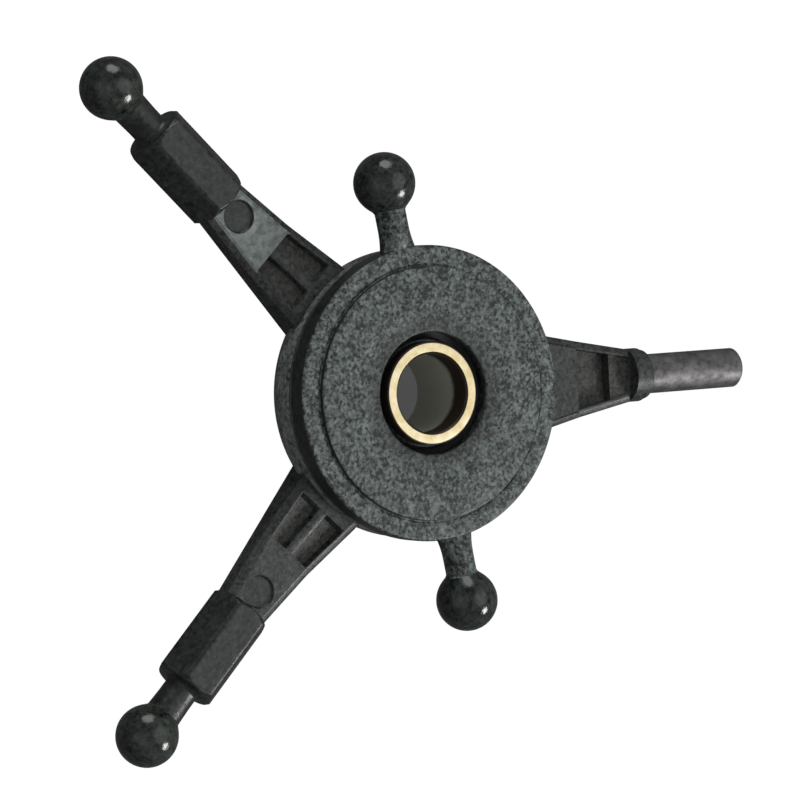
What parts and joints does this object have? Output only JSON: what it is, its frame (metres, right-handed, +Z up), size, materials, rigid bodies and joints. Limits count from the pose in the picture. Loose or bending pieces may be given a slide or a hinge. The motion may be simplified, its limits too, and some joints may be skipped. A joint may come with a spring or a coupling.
{
  "type": "helicopter swashplate",
  "caption": "Tilting swashplate for a small model helicopter: a rotating plate on a ball race over a stationary ring with servo arms and a guide pin, on a ball and brass shaft sleeve.",
  "frame": {"origin": "centre of the tilting ball, on the main shaft's axis", "axes": "+Z up along the main shaft, +X along the anti-rotation guide pin"},
  "size_m": [0.0288, 0.0268, 0.0044],
  "materials": {
    "black_moulding": "fine spark-eroded grain, black acetal",
    "black_acetal": "smooth turned black acetal",
    "black_stud": "smooth black moulded ball stud",
    "filled_ptfe": "graphite-filled PTFE, smooth",
    "brass_tube": "cut and deburred drawn brass tube",
    "bearing_steel": "ground and polished",
    "spring_steel": "stamped, oiled",
    "ground_pin": "dull grey centreless ground pin",
    "natural_nylon": "smooth natural nylon"
  },
  "bodies": {
    "shaft_ball": {"shaft_sleeve": "brass_tube", "centre_ball": "black_acetal"},
    "seat": {"seat_liner": "filled_ptfe"},
    "stationary": {"stationary_ring": "black_moulding", "bearing_outer_race": "bearing_steel", "outer_race_retainer": "spring_steel", "servo_stud_a": "black_stud", "servo_stud_b": "black_stud", "guide_pin": "ground_pin"},
    "rotor": {"rotor_plate": "black_moulding", "socket_cap": "black_acetal", "bearing_inner_race": "bearing_steel"},
    "cage": {"bearing_cage": "natural_nylon", "bearing_ball_01": "bearing_steel", "bearing_ball_02": "bearing_steel", "bearing_ball_03": "bearing_steel", "bearing_ball_04": "bearing_steel", "bearing_ball_05": "bearing_steel", "bearing_ball_06": "bearing_steel", "bearing_ball_07": "bearing_steel", "bearing_ball_08": "bearing_steel", "bearing_ball_09": "bearing_steel", "bearing_ball_10": "bearing_steel", "bearing_ball_11": "bearing_steel", "bearing_ball_12": "bearing_steel", "bearing_ball_13": "bearing_steel"}
  },
  "joints": [
    {"name": "tilt_pitch", "type": "hinge", "parent": "shaft_ball", "child": "seat", "pos_m": [0, 0, 0], "axis": [0, 1, 0], "range_deg": [-7, 7]},
    {"name": "tilt_roll", "type": "hinge", "parent": "seat", "child": "stationary", "pos_m": [0, 0, 0], "axis": [1, 0, 0], "range_deg": [-7, 7]},
    {"name": "rotor_spin", "type": "hinge", "parent": "stationary", "child": "rotor", "pos_m": [0, 0, 0], "axis": [0, 0, 1], "continuous": true},
    {"name": "cage_spin", "type": "hinge", "parent": "stationary", "child": "cage", "pos_m": [0, 0, 0], "axis": [0, 0, 1], "continuous": true}
  ],
  "couplings": [
    {"joint": "cage_spin", "follows": "rotor_spin", "ratio": 0.45732}
  ]
}
